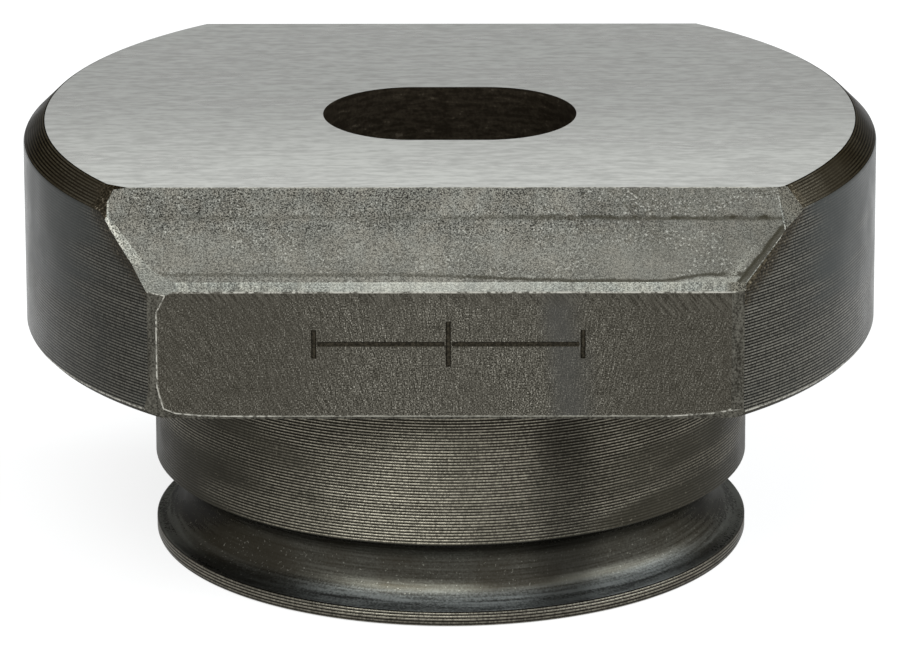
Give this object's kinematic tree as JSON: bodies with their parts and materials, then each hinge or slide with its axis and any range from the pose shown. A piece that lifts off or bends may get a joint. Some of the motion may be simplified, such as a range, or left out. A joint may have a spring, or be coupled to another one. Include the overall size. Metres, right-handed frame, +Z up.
{
  "type": "oval punch die",
  "caption": "Flanged round punching die with an oval cutting hole, two flats, a bevelled front, a round boss and a radiused retaining groove.",
  "frame": {"origin": "centre of the die's axis at the underside of the lip, the face that it stands on", "axes": "+Z up along the turned axis, out of the cutting face; +X along the oval hole; -Y out of the bevelled front flat"},
  "size_m": [0.035, 0.026, 0.0179],
  "materials": {
    "die_steel": "hardened tool steel: ground top face, turned sides, grit-blasted bevel, milled flats, polished groove"
  },
  "bodies": {
    "root": {"die_body": "die_steel"}
  },
  "joints": []
}
